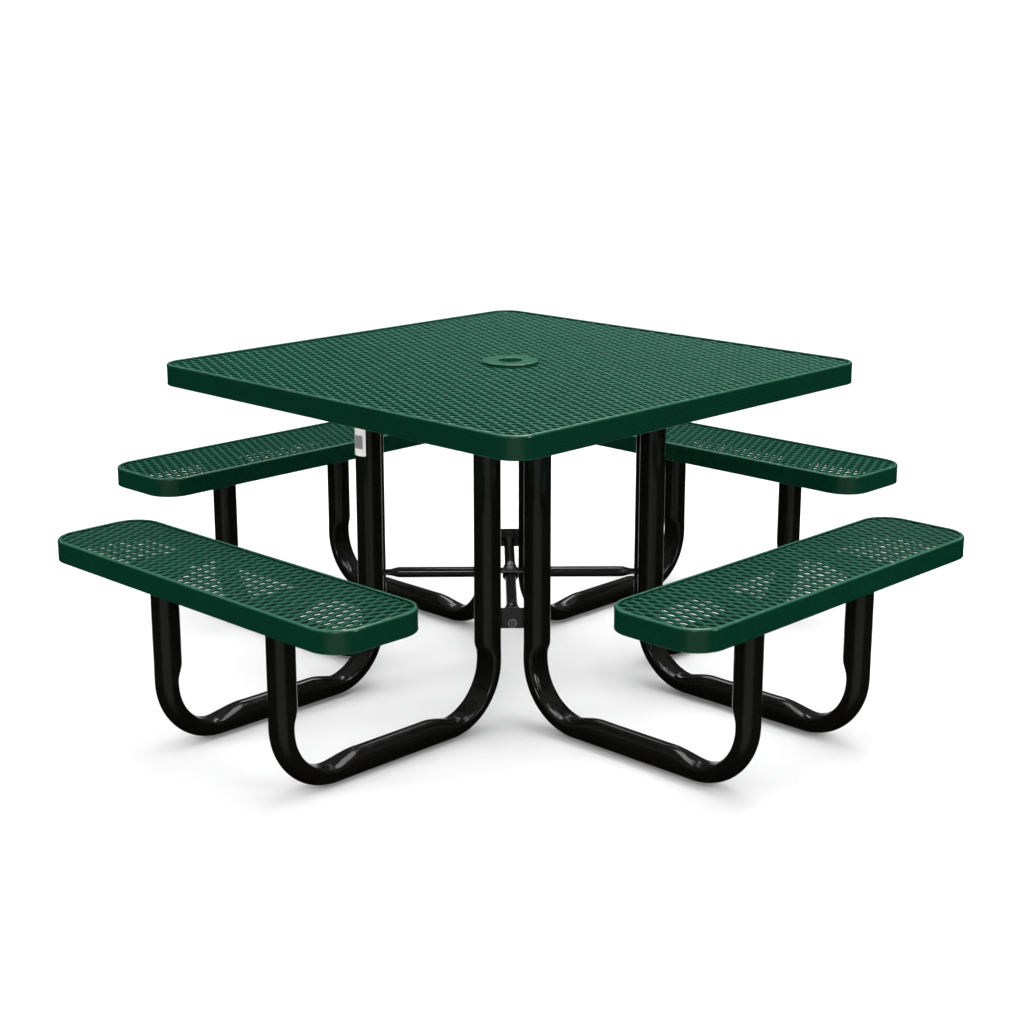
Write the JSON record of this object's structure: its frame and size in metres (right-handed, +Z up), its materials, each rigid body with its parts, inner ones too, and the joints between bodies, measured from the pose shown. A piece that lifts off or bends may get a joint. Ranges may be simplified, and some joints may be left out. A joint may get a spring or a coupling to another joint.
{
  "type": "picnic table",
  "caption": "Square picnic table: coated expanded metal top with an umbrella hole, attached bench seats on bent tube legs, crossed braces between the posts.",
  "frame": {"origin": "on the floor under the middle of the top", "axes": "+Z up, X and Y along the sides of the top; the front seat is at -Y and the right seat at +X"},
  "size_m": [1.938, 1.938, 0.779],
  "materials": {
    "coating": "glossy thick thermoplastic coating over steel",
    "frame": "glossy black powder coat",
    "zinc": "zinc plated"
  },
  "bodies": {
    "root": {"top_rim": "coating", "top_mesh": "coating", "top_angle_front": "frame", "top_angle_right": "frame", "top_angle_back": "frame", "top_angle_left": "frame", "umbrella_ring": "coating", "umbrella_collar": "frame", "seat_rim_front": "coating", "seat_mesh_front": "coating", "seat_angle_front_a": "frame", "leg_front_a": "frame", "table_mount_front_a": "frame", "seat_mount_front_a": "frame", "seat_angle_front_b": "frame", "leg_front_b": "frame", "table_mount_front_b": "frame", "seat_mount_front_b": "frame", "seat_rim_right": "coating", "seat_mesh_right": "coating", "seat_angle_right_a": "frame", "leg_right_a": "frame", "table_mount_right_a": "frame", "seat_mount_right_a": "frame", "seat_angle_right_b": "frame", "leg_right_b": "frame", "table_mount_right_b": "frame", "seat_mount_right_b": "frame", "seat_rim_back": "coating", "seat_mesh_back": "coating", "seat_angle_back_a": "frame", "leg_back_a": "frame", "table_mount_back_a": "frame", "seat_mount_back_a": "frame", "seat_angle_back_b": "frame", "leg_back_b": "frame", "table_mount_back_b": "frame", "seat_mount_back_b": "frame", "seat_rim_left": "coating", "seat_mesh_left": "coating", "seat_angle_left_a": "frame", "leg_left_a": "frame", "table_mount_left_a": "frame", "seat_mount_left_a": "frame", "seat_angle_left_b": "frame", "leg_left_b": "frame", "table_mount_left_b": "frame", "seat_mount_left_b": "frame", "corner_plate_front_right": "frame", "corner_plate_back_right": "frame", "corner_plate_back_left": "frame", "corner_plate_front_left": "frame", "brace_upper": "frame", "brace_lower": "frame", "mount_bolts": "zinc", "mount_nuts": "zinc", "brace_bolts": "zinc", "brace_washers": "zinc", "brace_nuts": "zinc", "crossing_bolt": "zinc"}
  },
  "joints": []
}
